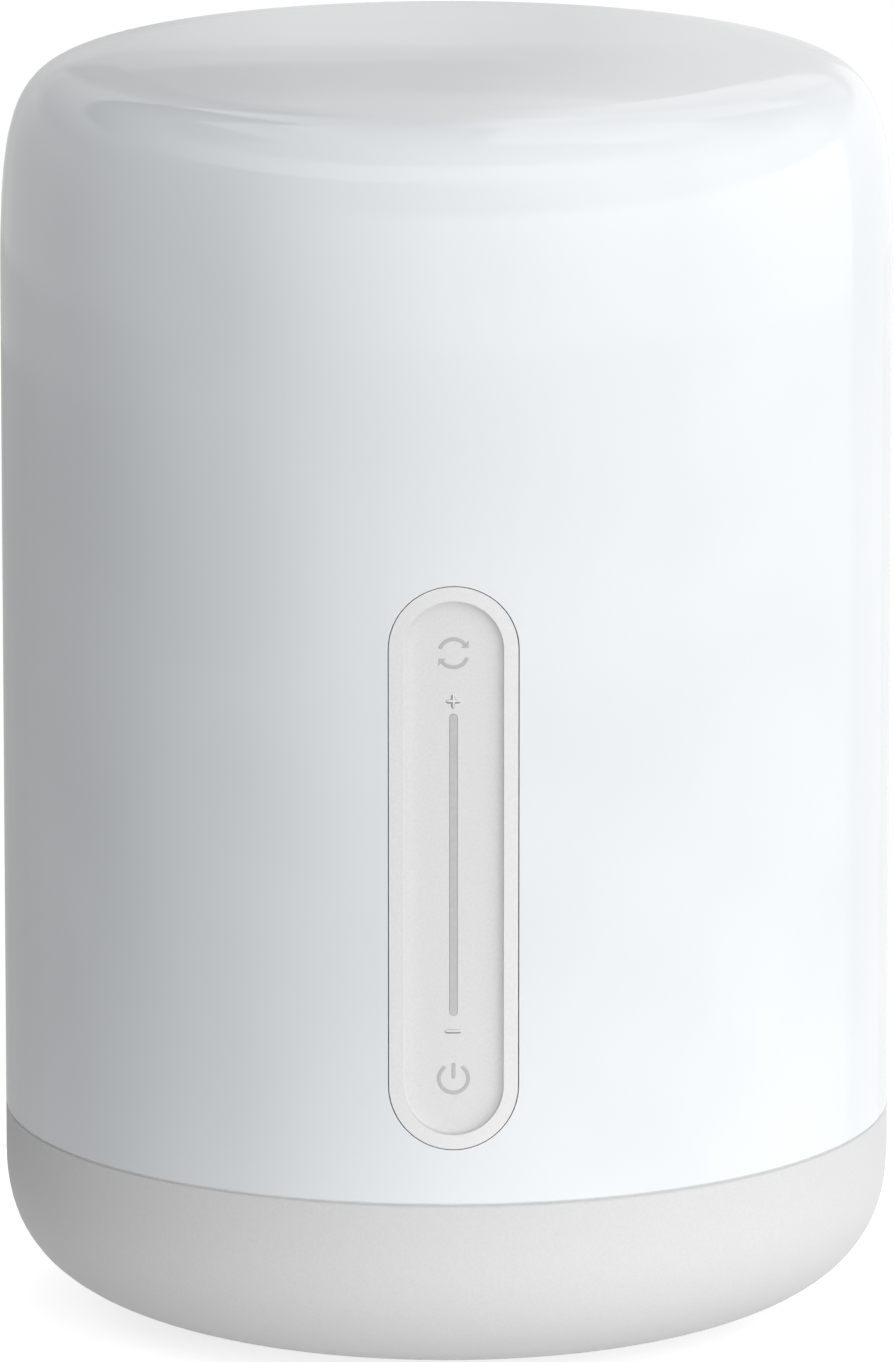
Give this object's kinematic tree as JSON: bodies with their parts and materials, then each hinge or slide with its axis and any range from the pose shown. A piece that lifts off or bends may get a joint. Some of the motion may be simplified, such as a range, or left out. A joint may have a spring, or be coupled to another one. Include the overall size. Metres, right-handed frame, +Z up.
{
  "type": "bedside lamp",
  "caption": "Drum-shaped bedside lamp: glossy milky shade on a matte base with turned-under edge, dished touch strip in the front, and a barrel-plug inlet at the back.",
  "frame": {"origin": "on the table, under the centre of the lamp", "axes": "+Z up along the lamp's axis; the touch strip faces -Y and the plug inlet faces +Y"},
  "size_m": [0.14, 0.14, 0.2012],
  "materials": {
    "milky_acrylic": "polished",
    "base_plastic": "fine matte",
    "foot_silicone": "matte",
    "screw_steel": "zinc plated",
    "ballast_steel": "zinc plated",
    "deck_plastic": "moulded",
    "board_green": "solder mask",
    "shield_tinplate": "tinned",
    "chip_black": "moulded",
    "inductor_ferrite": "moulded",
    "capacitor_aluminium": "drawn can",
    "jack_black": "moulded",
    "contact_brass": "plated",
    "connector_nylon": "moulded",
    "sink_aluminium": "die cast",
    "pad_silicone": "matte",
    "led_board_white": "white solder mask",
    "led_phosphor": "phosphor",
    "led_clear": "clear",
    "cable_white": "sheath",
    "dome_milky": "satin",
    "strip_plastic": "fine matte",
    "guide_grey": "satin",
    "foam_tape": "foam",
    "cover_black": "moulded",
    "ribbon_white": "film"
  },
  "bodies": {
    "root": {"shade": "milky_acrylic", "base_shell": "base_plastic", "foot_ring": "foot_silicone", "base_screws": "screw_steel", "ballast_plate": "ballast_steel", "deck": "deck_plastic", "main_board": "board_green", "main_board_screws": "screw_steel", "radio_module": "board_green", "radio_shield": "shield_tinplate", "driver_chips": "chip_black", "power_inductors": "inductor_ferrite", "filter_capacitors": "capacitor_aluminium", "dc_jack": "jack_black", "dc_jack_pin": "contact_brass", "led_header": "connector_nylon", "touch_header": "connector_nylon", "heat_sink": "sink_aluminium", "heat_sink_screws": "screw_steel", "thermal_pad": "pad_silicone", "led_board": "led_board_white", "led_board_screws": "screw_steel", "white_leds": "led_phosphor", "colour_leds": "led_clear", "led_socket": "connector_nylon", "led_cable": "cable_white", "mixing_dome": "dome_milky", "touch_panel": "strip_plastic", "slider_light_guide": "guide_grey", "touch_tape": "foam_tape", "touch_board": "board_green", "touch_leds": "led_clear", "touch_chip": "chip_black", "touch_socket": "connector_nylon", "touch_back_cover": "cover_black", "touch_screws": "screw_steel", "touch_cable": "ribbon_white"}
  },
  "joints": []
}
